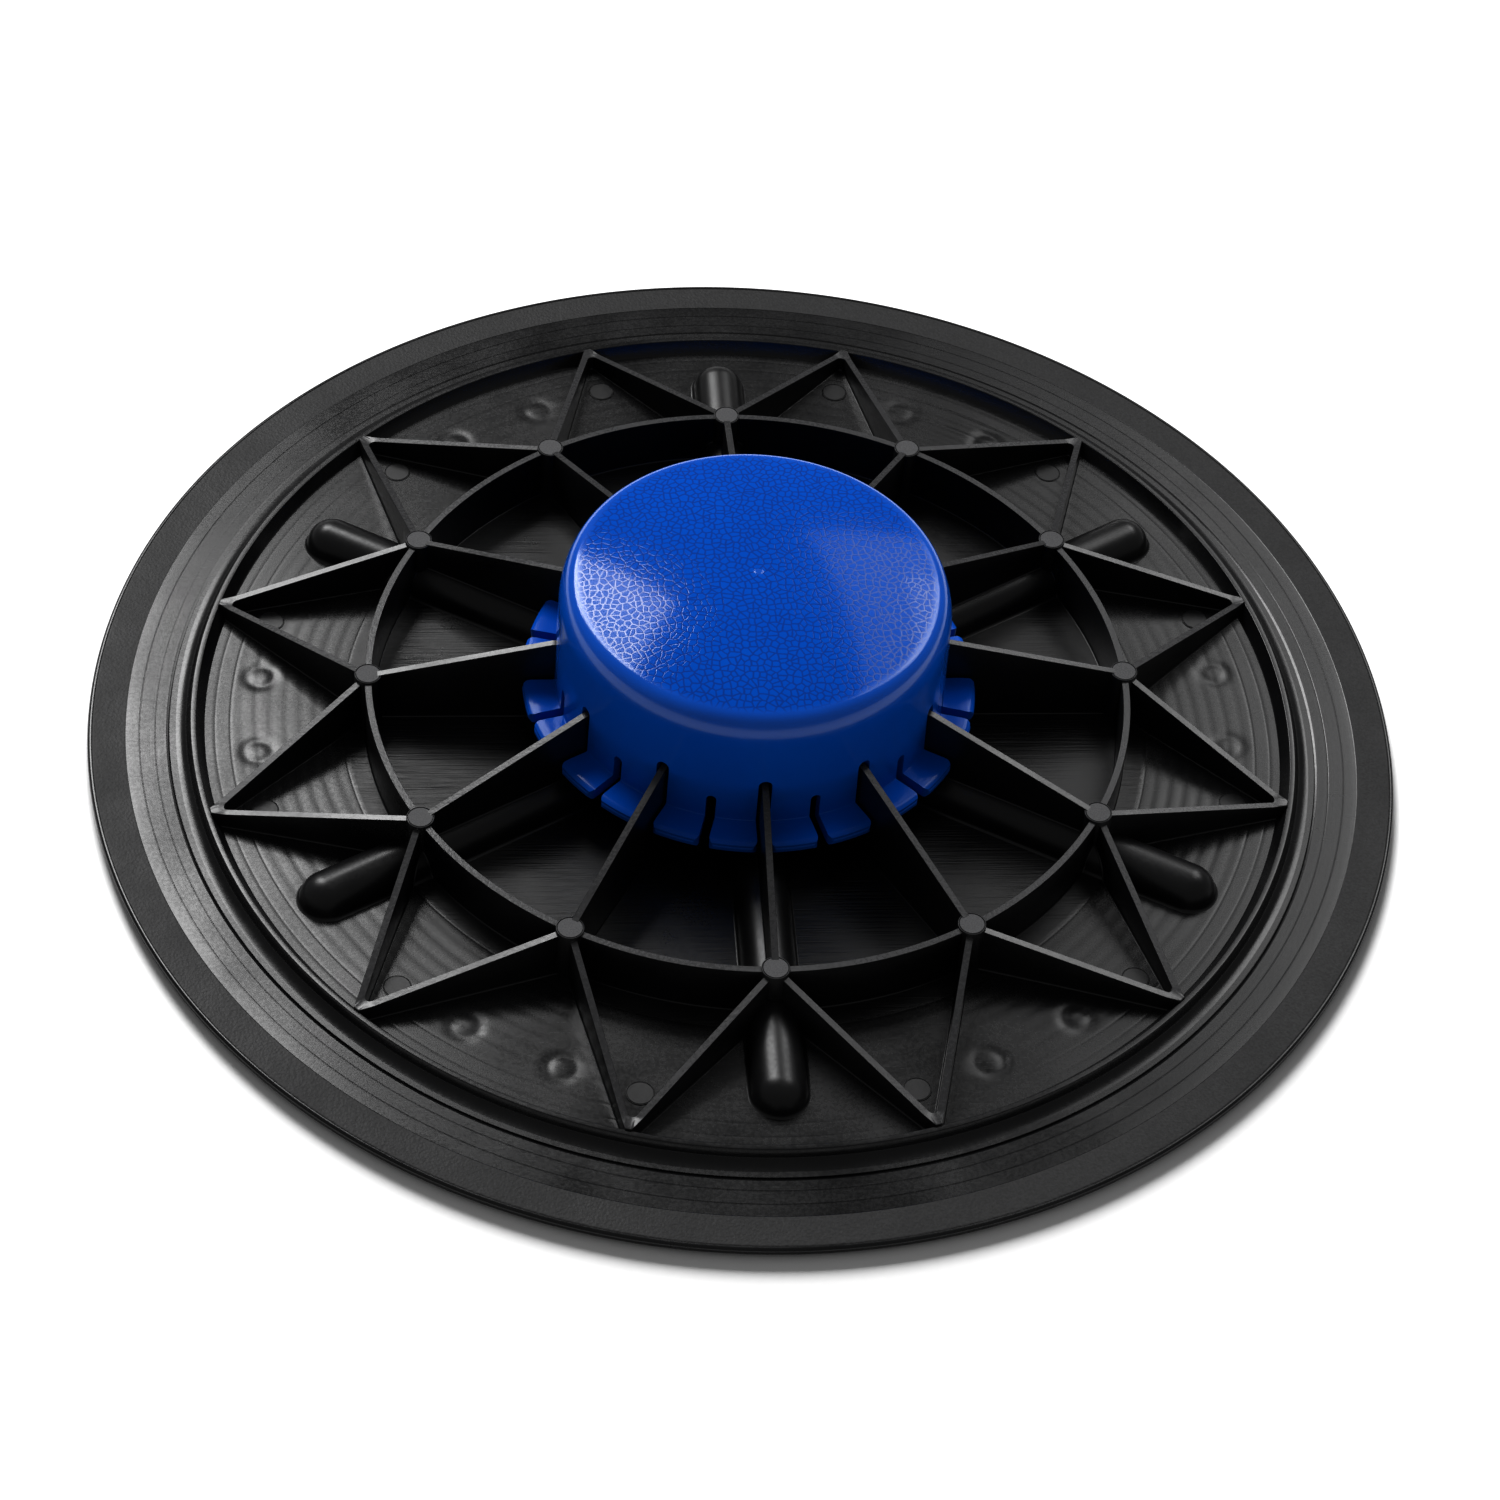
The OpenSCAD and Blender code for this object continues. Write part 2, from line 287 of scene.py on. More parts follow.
def deck_plate(materials):
    """The plate, open over the grooves. Its columns are closer where the dents are."""
    rows = np.array(deck_rows())
    half = np.array([groove_half_angle(r) for r in rows])[:, None]
    dents_from, dents_to, sector = 21.6, 27.2, 30
    steps = np.concatenate([np.linspace(0, dents_from, 22), np.linspace(dents_from, dents_to, 17)[1:],
                            np.linspace(dents_to, sector, 4)[1:]]) / sector
    shape = Shape()
    for i in CHANNELS:
        for side in (-1, 1):
            angle = channel_angle(i) + side * (half + steps * (PITCH - half))
            x, y = rows[:, None] * np.cos(angle), rows[:, None] * np.sin(angle)
            top = np.stack([x, y, field_height(x, y)], -1)
            under = np.stack([x, y, GRIP_H + 0 * x], -1)
            shape.sheet(top)
            shape.sheet(under)
            open_rows = np.flatnonzero((half[:-1, 0] > 0) | (half[1:, 0] > 0))
            span = slice(open_rows[0], open_rows[-1] + 2)
            shape.sheet(np.stack([top[span, 0], under[span, 0]], 1))
            shape.sheet(np.stack([top[-1], under[-1]], 0))
    return shape.piece("deck_plate", "platform", materials, ["deck_disc"])


def groove_line(r, z, depth, half):
    """A fine turned line in a surface."""
    return [(r - half, z), (r - half * 0.3, z - depth), (r + half * 0.3, z - depth), (r + half, z)]


def outer_band(smooth, grained):
    """The flat band: turned lines on its smooth part, a step up to the grained part, a rolled edge."""
    crease, border, bead = DECK_R + 1.0 * MM, PLATFORM_R - 11.4 * MM, PLATFORM_R - 1.5 * MM
    crease_z, slope = RIM_H - 0.6 * MM, 0.25 * MM
    top = [(DECK_R - 0.15 * MM, DECK_TOP - 0.2 * MM), (DECK_R + 0.05 * MM, RIM_H - 1.0 * MM),
           (crease - 0.12 * MM, crease_z - 0.08 * MM), (crease, crease_z)]
    for r, depth in BAND_LINES:
        z = crease_z + slope * (r - crease) / (border - crease)
        top += groove_line(r, z, depth, 0.2 * MM)
    top += [(border - 0.25 * MM, RIM_H - 0.355 * MM), (border - 0.1 * MM, RIM_H - 0.36 * MM),
            (border + 0.1 * MM, RIM_H - 0.27 * MM), (border + 0.25 * MM, RIM_H - 0.265 * MM)]
    top += line((border + 0.6 * MM, RIM_H - 0.26 * MM), (bead - 0.5 * MM, RIM_H - 0.12 * MM), 4)
    top += [(bead - 0.25 * MM, RIM_H - 0.12 * MM), (bead, RIM_H - 0.2 * MM),
            (bead + 0.2 * MM, RIM_H - 0.04 * MM)]
    upper, lower = 1.1 * MM, 1.3 * MM
    edge = arc(PLATFORM_R - upper, RIM_H - upper, upper, 85, 0, 7)
    edge += arc(PLATFORM_R - lower, GRIP_H + lower, lower, 0, -90, 6)
    under = [(PLATFORM_R - 6 * MM, GRIP_H), (DECK_R - 0.15 * MM, GRIP_H)]
    shape = Shape()
    lathe(shape, top + edge + under, RIM_COLUMNS)
    return shape.piece("outer_band", "platform", [smooth, grained], ["rim_band"],
                       sharp=24, choose=lambda c: int(border < math.hypot(c.x, c.y) < bead))


def ridge(materials):
    """The raised ring round the field, with a hollow curve down to the band outside it."""
    lip, buried = 0.3 * MM, DECK_TOP - 0.5 * MM
    foot = RIDGE_IN - 1.9 * MM
    cove_top = RIDGE_OUT + 0.9 * MM
    wall_foot = RIDGE_H - 1.9 * MM
    width, drop = DECK_R - 0.1 * MM - cove_top, wall_foot - (DECK_TOP - 0.1 * MM)
    cove = [(cove_top + width * (1 - math.cos(a)), wall_foot - drop * math.sin(a))
            for a in np.radians(np.linspace(0, 90, 13))]
    profile = [(foot - 0.7 * MM, DECK_TOP - 0.15 * MM), (foot - 0.4 * MM, DECK_TOP + 0.06 * MM),
               (foot, DECK_TOP + 0.45 * MM)]
    profile += arc(RIDGE_IN + lip, RIDGE_H - lip, lip, 160, 90, 4)
    profile += [((RIDGE_IN + RIDGE_OUT) / 2, RIDGE_H)]
    profile += arc(RIDGE_OUT - lip, RIDGE_H - lip, lip, 90, 20, 4)
    profile += cove + [(DECK_R - 0.1 * MM, buried), (foot - 0.7 * MM, buried)]
    shape = Shape()
    lathe(shape, profile, RIM_COLUMNS)
    return shape.piece("field_ridge", "platform", materials, ["retaining_ridge"], sharp=24)


def rib_section(base, top):
    """Side offsets and heights across a rib: a root fillet, a slight draft and softened top edges."""
    half, draft = RIB_T / 2, 0.22 * MM
    side = [(half + draft + 0.4 * MM, base - 0.5 * MM), (half + draft + 0.4 * MM, base - 0.02 * MM),
            (half + draft + 0.16 * MM, base + 0.08 * MM), (half + draft + 0.04 * MM, base + 0.24 * MM),
            (half + draft, base + 0.6 * MM), (half, top - 0.16 * MM), (half - 0.03 * MM, top - 0.06 * MM),
            (half - 0.1 * MM, top)]
    offsets = [u for u, _ in side] + [0] + [-u for u, _ in reversed(side)]
    heights = [z for _, z in side] + [top] + [z for _, z in reversed(side)]
    return np.array(offsets), np.stack(heights, -1)


def sweep_rib(shape, centre, outward, top, inward=None, closed=False):
    """Stands a rib along plan points, closed on all sides. outward and inward are the directions
    to its two sides, longer than 1 where a side stands further out."""
    base = ground(centre[:, 0], centre[:, 1])
    offsets, heights = rib_section(base, np.maximum(top, base + 1.2 * MM))
    inward = outward if inward is None else inward
    side = np.where(offsets[None, :, None] > 0, outward[:, None, :], inward[:, None, :])
    points = np.concatenate([centre[:, None, :] + offsets[None, :, None] * side, heights[..., None]], -1)
    if closed:
        points = np.concatenate([points, points[:1]], 0)
    shape.sheet(points)
    shape.sheet(np.stack([points[:, -1], points[:, 0]], 1))
    if not closed:
        for ring in (points[0], points[-1]):
            half = len(ring) // 2
            shape.sheet(np.stack([ring[:half + 1], ring[::-1][:half + 1]], 1))


def ring_wall(materials):
    """The round rib that joins the posts."""
    angles = np.linspace(0, 2 * math.pi, 720, endpoint=False)
    normal = np.stack([np.cos(angles), np.sin(angles)], -1)
    shape = Shape()
    sweep_rib(shape, normal * POST_R, normal, np.full(len(angles), float(rib_height(POST_R))), closed=True)
    return shape.piece("ring_wall", "platform", materials, ["ring_rib"])


def spoke(i, materials):
    """A radial rib from the hub to its post."""
    start, middle = 11 * MM, 60 * MM
    r = np.concatenate([np.linspace(start, middle, 60), np.linspace(middle + 0.4 * MM, POST_R, 60)])
    a = PITCH * (i - 1)
    along, side = np.array([math.cos(a), math.sin(a)]), np.array([-math.sin(a), math.cos(a)])
    shape = Shape()
    sweep_rib(shape, r[:, None] * along, np.repeat(side[None], len(r), 0), rib_height(r))
    return shape.piece(f"spoke_{i:02d}", "platform", materials, [f"radial_rib_{i:02d}"])


def star_plan():
    """Plan of a star point along +X: its middle line, and the directions to its outer and inner
    sides. The inner side is round at the tip, and the outer side is flat against the ridge."""
    post = np.array([POST_R * math.cos(PITCH / 2), POST_R * math.sin(PITCH / 2)])
    lean = math.atan2(post[1], STAR_TIP - post[0])
    bend_r = 1.5 * MM + RIB_T / 2
    pivot = np.array([STAR_TIP - bend_r / math.sin(lean), 0])
    run = math.hypot(STAR_TIP - post[0], post[1]) - bend_r / math.tan(lean)
    leg = post + np.linspace(0, run, 76)[:, None] * np.array([math.cos(lean), -math.sin(lean)])
    leg_side = np.repeat(np.array([[math.sin(lean), math.cos(lean)]]), len(leg), 0)

    turn = math.pi / 2 - lean
    psi = np.linspace(turn, -turn, 15)[1:-1]
    bend_side = np.stack([np.cos(psi), np.sin(psi)], -1)
    bend = pivot + bend_r * bend_side
    flat_x = RIDGE_IN + 0.15 * MM
    flat_y = (STAR_TIP + RIB_T / 2 / math.sin(lean) - flat_x) * math.tan(lean)
    corner = pivot + (bend_r + RIB_T / 2) * np.array([math.cos(turn), math.sin(turn)])
    marks = turn * np.array([-1, -0.45, 0.45, 1])
    outer = np.stack([np.interp(psi, marks, [corner[0], flat_x, flat_x, corner[0]]),
                      np.interp(psi, marks, [-corner[1], -flat_y, flat_y, corner[1]])], -1)

    mirror = np.array([1, -1])
    centre = np.concatenate([leg, bend, leg[::-1] * mirror])
    outward = np.concatenate([leg_side, (outer - bend) / (RIB_T / 2), leg_side * mirror])
    inward = np.concatenate([leg_side, bend_side, leg_side * mirror])
    return np.stack([centre, outward, inward])


def star_web(i, materials):
    """Two ribs from neighbouring posts that meet in one point against the ridge."""
    plan = star_plan()
    top = np.interp(plan[0, :, 0], [POST_R * math.cos(PITCH / 2), STAR_TIP],
                    [float(rib_height(POST_R)), RIDGE_H - 0.03 * MM])
    plan = rotated(np.pad(plan, ((0, 0), (0, 0), (0, 1))), PITCH * (i - 0.5))
    centre, outward, inward = plan[..., :2]
    shape = Shape()
    sweep_rib(shape, centre, outward, top, inward)
    return shape.piece(f"star_web_{i:02d}", "platform", materials, [f"star_point_{i:02d}"])


def channel_shell(i, materials):
    """The half-round back of a groove, with round ends and a small root fillet."""
    root = [(CHANNEL_RADIUS + 0.95 * MM, -0.4 * MM), (CHANNEL_RADIUS + 0.95 * MM, -0.03 * MM),
            (CHANNEL_RADIUS + 0.5 * MM, 0.1 * MM), (CHANNEL_RADIUS + 0.2 * MM, 0.38 * MM)]
    back = arc(0, 0, CHANNEL_RADIUS, 6, 90, 18)
    lining = arc(0, 0, CHANNEL_INNER, 90, 0, 14) + [(CHANNEL_INNER, -0.4 * MM)]
    x = np.linspace(CHANNEL_FIRST, CHANNEL_LAST, 50)
    turn = np.radians(np.linspace(90, -90, 25))[1:-1]
    spine = np.concatenate([x, np.full(len(turn), CHANNEL_LAST), x[::-1], np.full(len(turn), CHANNEL_FIRST)])
    lean = np.concatenate([np.full(len(x), math.pi / 2), turn, np.full(len(x), -math.pi / 2), turn - math.pi])
    rows = [np.stack([spine + offset * np.cos(lean), offset * np.sin(lean),
                      np.full(len(spine), DECK_TOP + height)], -1)
            for offset, height in root + back + lining + root[:1]]
    # The back and its lining both end on the crest, and nothing joins them there.
    crest = np.zeros((len(rows) - 1, len(spine)), bool)
    crest[len(root + back) - 1] = True
    shape = Shape()
    shape.sheet(rotated(np.array(rows), channel_angle(i)), wrap=True, skip=crest)
    return shape.piece(f"channel_shell_{i:02d}", "platform", materials,
                       [f"foot_channel_{i:02d}"])


def round_boss(shape, x, y, foot, top, radius, bevel, groove, columns):
    """A round boss with a softened edge and a pin's groove. foot(x, y) is the height it starts at."""
    angles = np.linspace(0, 2 * math.pi, columns, endpoint=False)
    cx, cy = np.cos(angles), np.sin(angles)
    inner = radius - bevel - 0.04 * MM
    sides = [(radius + 0.02 * MM, top - bevel)] + arc(radius - bevel, top - bevel, bevel, 0, 90, 4)[1:]
    sides += [(inner, top), (inner - 0.13 * MM, top - groove), (inner - 0.2 * MM, top - groove),
              (inner - 0.33 * MM, top), (radius * 0.5, top), (0, top)]
    wide = radius + 0.18 * MM
    low = foot(x + wide * cx, y + wide * cy)
    rows = [np.stack([x + 0 * cx, y + 0 * cx, low.mean() + 0 * cx], -1),
            np.stack([x + wide * cx, y + wide * cy, low], -1)]
    rows += [np.stack([x + r * cx, y + r * cy, z + 0 * cx], -1) for r, z in sides]
    shape.sheet(np.array(rows), wrap=True)


def posts(side_material, top_material):
    """The twelve round posts where the ribs meet."""
    shape = Shape()
    for i in RIBS:
        a = PITCH * (i - 1)
        round_boss(shape, POST_R * math.cos(a), POST_R * math.sin(a), lambda x, y: ground(x, y) - 0.6 * MM,
                   POST_TOP, POST_RADIUS, bevel=0.16 * MM, groove=0.35 * MM, columns=48)
    return shape.piece("posts", "platform", [side_material, top_material], ["rib_posts"],
                       choose=lambda c: int(c.z > POST_TOP - 0.02 * MM))


def ejector_marks(materials):
    """The thin round marks that the mould's pins leave in the star's tips."""
    shape = Shape()
    for i in RIBS:
        a = PITCH * (i - 0.5)
        round_boss(shape, MARK_RING * math.cos(a), MARK_RING * math.sin(a),
                   lambda x, y: DECK_TOP - 0.5 * MM + 0 * x, DECK_TOP + MARK_H, POST_RADIUS,
                   bevel=0.06 * MM, groove=0.16 * MM, columns=64)
    return shape.piece("ejector_marks", "platform", materials)


def hub(materials):
    """The tube at the centre that guides the dome, with a lead-in at its mouth."""
    outer, top, floor = HUB_HI.x, HUB_HI.z, DECK_TOP + 4 * MM
    lip, cove = 0.5 * MM, 0.6 * MM
    profile = [(0, DECK_TOP - 0.5 * MM), (outer + 0.9 * MM, DECK_TOP - 0.5 * MM),
               (outer + 0.9 * MM, DECK_TOP), (outer + 0.3 * MM, DECK_TOP + 0.2 * MM),
               (outer, DECK_TOP + 0.9 * MM)]
    profile += arc(outer - lip, top - lip, lip, 0, 90, 5)
    profile += [(HUB_BORE + 0.7 * MM, top), (HUB_BORE, top - 0.9 * MM)]
    profile += arc(HUB_BORE - cove, floor + cove, cove, 0, -90, 5) + [(0, floor)]
    shape = Shape()
    lathe(shape, profile, 96)
    return shape.piece("hub_tube", "platform", materials, ["hub_socket"])


def grip_profile(r):
    """Section of a grip ring that hangs from the plate, with rounded lower edges."""
    soft, edge = 0.3 * MM, GRIP_HALF + 0.1 * MM
    return ([(r - edge - 0.1 * MM, GRIP_H + 0.3 * MM), (r - edge, GRIP_H - 0.1 * MM)]
            + arc(r - GRIP_HALF + soft, soft, soft, 180, 270, 4)
            + arc(r + GRIP_HALF - soft, soft, soft, 270, 360, 4)
            + [(r + edge, GRIP_H - 0.1 * MM), (r + edge + 0.1 * MM, GRIP_H + 0.3 * MM)])


def nub(x, y):
    """A low round stud under the plate."""
    soft, skirt, buried = 0.5 * MM, 4.9 * MM, GRIP_H + 0.3 * MM
    outline = [(0, 0), (2 * MM, 0)] + arc(NUB_R, soft, soft, -90, -20, 4)
    outline += [(skirt, GRIP_H), (skirt, buried), (0, buried)]
    angles = np.linspace(0, 2 * math.pi, 40, endpoint=False)
    return np.array([np.stack([x + r * np.cos(angles), y + r * np.sin(angles), z + 0 * angles], -1)
                     for r, z in outline])


def grip_pattern(materials):
    """What the platform stands on: two rings, twelve arcs between the grooves, and nubs."""
    for which, r in zip(("inner", "outer"), GRIP_RINGS):
        shape = Shape()
        lathe(shape, grip_profile(r), 240)
        shape.piece(f"grip_{which}", "platform", materials, [f"grip_ring_{which}"])
    shape = Shape()
    for r in GRIP_ARC_RINGS:
        gap = math.asin((CHANNEL_INNER + 0.3 * MM) / r)
        for i in CHANNELS:
            lathe(shape, grip_profile(r), 40, channel_angle(i) + gap, 2 * PITCH - 2 * gap)
    shape.piece("grip_bars", "platform", materials, ["grip_arcs"])
    shape = Shape()
    for x, y in dent_places():
        shape.sheet(nub(x, y), wrap=True)
    shape.piece("grip_studs", "platform", materials, ["grip_nubs"])


# ---------------------------------------------------------------- dome
def dome_wall_r(z):
    """Outer radius of the drafted wall."""
    return DOME_R - DOME_DRAFT * z


def bend(x, z, radius, start, stop, count):
    """Lean from upright, radius and height of points round a bend's centre."""
    return [(a, x + radius * math.sin(a), z + radius * math.cos(a)) for a in np.linspace(start, stop, count)]


def crown_bends():
    """The crown's round edge, then the longer shoulder that runs into the wall."""
    first, middle, last = np.radians([10, 64, 88.6])
    x, z = dome_wall_r(WALL_TOP) - SHOULDER * math.sin(last), WALL_TOP - SHOULDER * math.cos(last)
    shoulder = bend(x, z, SHOULDER, middle, last, 14)
    gap = SHOULDER - CROWN_EDGE
    edge = bend(x + gap * math.sin(middle), z + gap * math.cos(middle), CROWN_EDGE, first, middle, 16)
    return edge[:-1] + shoulder


def wall_levels():
    """Heights of the wall's rows, close together in the round tops of the slots."""
    levels = list(np.linspace(WALL_TOP - 1 * MM, SLOT_TOP + 0.4 * MM, 9))
    for width, top in SLOTS:
        levels += [top - width / 2 * (1 - math.cos(a)) for a in np.radians(np.linspace(0, 90, 9))]
    levels += list(np.linspace(SLOT_TOP - 3 * MM, LOW_SLOT_TOP + 0.5 * MM, 4))
    levels += list(np.linspace(LOW_SLOT_TOP - 2 * MM, FOOT_TOP + 0.6 * MM, 4))
    return sorted(set(levels), reverse=True)


def foot_outline():
    """Upper and lower outline of a foot, from the wall outwards."""
    wall = dome_wall_r(FOOT_TOP)
    upper = [(wall + 0.02 * MM, FOOT_TOP + 0.25 * MM), (wall + 0.18 * MM, FOOT_TOP + 0.04 * MM)]
    lower = [(wall - DOME_T, FOOT_TOP), (wall - DOME_T, FOOT_Z + 0.5 * MM)]
    plate = list(np.linspace(wall + 0.8 * MM, FOOT_END - 2.2 * MM, 6))
    plate += list(FOOT_END - 0.35 * MM - 1.85 * MM * (1 - np.sin(np.radians(np.linspace(12, 90, 7)))))
    for r in plate:
        share = (r - wall) / (FOOT_END - wall)
        upper.append((r, FOOT_TOP - 1.2 * MM * share ** 10))
        lower.append((min(r - 0.3 * MM * share, FOOT_END - 1.1 * MM), FOOT_Z))
    nose = 0.7 * MM
    upper += arc(FOOT_END - nose, FOOT_Z + 1.85 * MM, nose, 60, 0, 3)
    lower += line((FOOT_END - 0.9 * MM, FOOT_Z + 0.05 * MM), (FOOT_END - 0.05 * MM, FOOT_Z + 0.95 * MM), 3)
    return upper, lower


def dome_chains():
    """The dome's outer and inner outline, paired point by point from the crown's middle to the feet."""
    bends = crown_bends()
    _, rim_r, rim_z = bends[0]
    share = np.concatenate([[0], np.linspace(0.02, 1, 40)])[:-1]
    crown = (CROWN_TOP - rim_z) * (1 - 0.6 * share ** 2 - 0.4 * share ** 4)
    outer = [(rim_r * s, rim_z + h) for s, h in zip(share, crown)] + [(r, z) for _, r, z in bends]
    lining = [(r - DOME_T * math.sin(a), z - DOME_T * math.cos(a)) for a, r, z in bends]
    inner = [(lining[0][0] * s, lining[0][1] + h) for s, h in zip(share, crown)] + lining
    for z in wall_levels():
        outer.append((dome_wall_r(z), z))
        inner.append((dome_wall_r(z) - DOME_T, z))
    upper, lower = foot_outline()
    return np.array(outer + upper), np.array(inner + lower)


def slot_half_width(chain, width, top):
    """Half a slot's width where it cuts an outline, with the rounding of a foot's corner."""
    r, z = chain[:, 0], chain[:, 1]
    above = np.maximum(z - (top - width / 2), 0)
    half = np.sqrt(np.maximum((width / 2) ** 2 - above ** 2, 0))
    corner = 2.2 * MM
    past = np.clip(r - (FOOT_END - corner), 0, corner * 0.995)
    return half + corner - np.sqrt(corner ** 2 - past ** 2)


def slot_turn(chain, slot):
    """Angle from a slot's middle to its side, point by point, as one column."""
    share = slot_half_width(chain, *slot) / np.maximum(chain[:, 0], 0.001 * MM)
    return (np.arcsin(np.clip(share, 0, 1)) * (chain[:, 1] < SLOT_REACH))[:, None]


def dome_shell(materials):
    """The whole moulding: crown, wall, twenty-four fingers and their feet. It is made finger by
    finger, with its columns closer beside the slots."""
    outer, inner = dome_chains()
    even, crowding = np.linspace(0, 1, 19), 0.35
    ease = (1 - crowding) * even + crowding * (1 - np.cos(math.pi * even)) / 2
    shape = Shape()
    for k in range(24):
        left, right = SLOTS[k % 2], SLOTS[(k + 1) % 2]
        sheets = []
        for chain in (outer, inner):
            start = PITCH * k / 2 + slot_turn(chain, left)
            stop = PITCH * (k + 1) / 2 - slot_turn(chain, right)
            angle = start + (stop - start) * ease
            r, z = chain[:, :1], chain[:, 1:]
            sheets.append(np.stack([r * np.cos(angle), r * np.sin(angle), z + 0 * angle], -1))
            shape.sheet(sheets[-1])
        shape.sheet(np.stack([sheets[0][-1], sheets[1][-1]], 0))
        for column, slot in ((0, left), (-1, right)):
            cut = np.flatnonzero((slot_half_width(outer, *slot) > 0) & (outer[:, 1] < SLOT_REACH))
            span = slice(cut[0] - 1, None)
            shape.sheet(np.stack([sheets[0][span, column], sheets[1][span, column]], 1))
    fingers = [f"dome_fingers_{i:02d}" for i in RIBS]
    return shape.piece("dome_shell", "dome", materials, ["dome_crown", "dome_wall"] + fingers)


def spigot(materials):
    """The stem under the crown, with a rounded nose."""
    r, foot, top = SPIGOT_HI.x, SPIGOT_LO.z, SPIGOT_HI.z
    nose, collar = 1.2 * MM, r + 1.2 * MM
    profile = [(0, foot)] + arc(r - nose, foot + nose, nose, -90, 0, 6)
    profile += [(r, top - 4 * MM), (r + 0.3 * MM, top - 3.2 * MM), (collar, top - 2.4 * MM)]
    profile += [(collar, top), (0, top)]
    shape = Shape()
    lathe(shape, profile, 80)
    return shape.piece("guide_spigot", "dome", materials, ["dome_spigot"])


# ---------------------------------------------------------------- materials
class Nodes:
    """Short names for building a node tree."""

    def __init__(self, name):
        self.material = bpy.data.materials.new(name)
        self.material.use_nodes = True
        self.tree = self.material.node_tree
        self.shader = self.tree.nodes["Principled BSDF"]
        self.position = self.add("ShaderNodeTexCoord").outputs["Object"]

    def add(self, kind, **values):
        """Adds a node, and sets each value as a setting of the node or as one of its inputs."""
        node = self.tree.nodes.new(kind)
        for key, value in values.items():
            if hasattr(node, key):
                setattr(node, key, value)
            else:
                self.put(node.inputs[key], value)
        return node

    def put(self, socket, value):
        """Links an output to a socket, or sets the socket to a constant."""
        if isinstance(value, bpy.types.NodeSocket):
            self.tree.links.new(value, socket)
        else:
            socket.default_value = value

    def math(self, operation, *values):
        """One step of arithmetic."""
        node = self.add("ShaderNodeMath", operation=operation)
        for socket, value in zip(node.inputs, values):
            self.put(socket, value)
        return node.outputs[0]

    def total(self, terms):
        """Sum of (value, weight) pairs."""
        result = 0
        for value, weight in terms:
            result = self.math("MULTIPLY_ADD", value, weight, result)
        return result

    def noise(self, scale, detail, rough, vector=None):
        """Soft random field, mostly between 0.3 and 0.7."""
        node = self.add("ShaderNodeTexNoise", Scale=scale, Detail=detail, Roughness=rough)
        self.put(node.inputs["Vector"], vector or self.position)
        return node.outputs["Fac"]

    def turned_lines(self, radius, scale):
        """Fine rings left by turning the mould: noise that changes only with the radius."""
        node = self.add("ShaderNodeTexNoise", noise_dimensions="1D", Scale=scale, Detail=3.0, Roughness=0.7)
        self.put(node.inputs["W"], radius)
        return node.outputs["Fac"]

    def stretched(self, turn, scale, vector=None):
        """A position turned about Z and scaled by a different factor each way."""
        node = self.add("ShaderNodeMapping", Rotation=(0, 0, turn), Scale=scale)
        self.put(node.inputs["Vector"], vector or self.position)
        return node.outputs[0]

    def remap(self, value, low, high, to_low=0.0, to_high=1.0, smooth=False):
        """Maps low to high onto to_low to to_high, and holds the ends."""
        node = self.add("ShaderNodeMapRange", interpolation_type="SMOOTHSTEP" if smooth else "LINEAR")
        for socket, v in zip(node.inputs[:5], (value, low, high, to_low, to_high)):
            self.put(socket, v)
        return node.outputs[0]

    def mix(self, share, a, b):
        """From number a to number b as share goes from 0 to 1."""
        node = self.add("ShaderNodeMix", data_type="FLOAT")
        for socket, value in zip((node.inputs[0], node.inputs[2], node.inputs[3]), (share, a, b)):
            self.put(socket, value)
        return node.outputs[0]

    def colour_mix(self, share, a, b):
        """From colour a to colour b as share goes from 0 to 1."""
        node = self.add("ShaderNodeMix", data_type="RGBA")
        self.put(node.inputs[0], share)
        for socket, value in ((node.inputs[6], a), (node.inputs[7], b)):
            self.put(socket, (*value, 1) if isinstance(value, tuple) else value)
        return node.outputs[2]

    def radius_height(self):
        """Distance from the axis, and height."""
        x, y, z = self.split(self.position)
        square = self.math("ADD", self.math("MULTIPLY", x, x), self.math("MULTIPLY", y, y))
        return self.math("SQRT", square), z

    def split(self, vector):
        """The three parts of a vector."""
        node = self.add("ShaderNodeSeparateXYZ")
        self.put(node.inputs[0], vector)
        return node.outputs

    def bump(self, height, distance):
        """A normal from a height, where a height of 1 stands out by the distance."""
        node = self.add("ShaderNodeBump", Distance=distance)
        self.put(node.inputs["Height"], height)
        return node.outputs["Normal"]

    def finish(self, colour, roughness, normal, specular=0.5):
        """Connects the shader, and gives the material."""
        for name, value in (("Base Color", colour), ("Roughness", roughness), ("Normal", normal),
                            ("Specular IOR Level", specular)):
            self.put(self.shader.inputs[name], value)
        return self.material


BLACK_DEEP, BLACK_SOFT = (0.0065, 0.0066, 0.0072), (0.0115, 0.0116, 0.0125)
# Grey for the black faces that look up: painted light on the rib tops.
BLACK_TOP_PAINTED_LIGHT = (0.05, 0.05, 0.052)
# The third blue is painted shade for the leather grain's valleys.
BLUE, BLUE_PALE, BLUE_VALLEY_SHADE = (0.0008, 0.112, 0.56), (0.001, 0.124, 0.6), (0.0004, 0.055, 0.34)


def cross_strokes(n, radius):
    """Brush marks in patches that run three ways, inside the first turned line. Gives the marks,
    and 1 where they may be."""
    inside = n.remap(radius, FLOOR_LINES[0] - 0.4 * MM, FLOOR_LINES[0] - 1.4 * MM)
    marks = 0
    for turn in (0.35, -0.9, 1.5):
        stroke = n.remap(n.noise(1.0, 2.0, 0.6, n.stretched(turn, (30.0, 1100.0, 0.0))), 0.35, 0.65)
        patch = n.remap(n.noise(30.0 + 9 * turn, 1.0, 0.5), 0.42, 0.6)
        marks = n.math("MULTIPLY_ADD", stroke, patch, marks)
    return n.math("MULTIPLY", marks, inside), inside


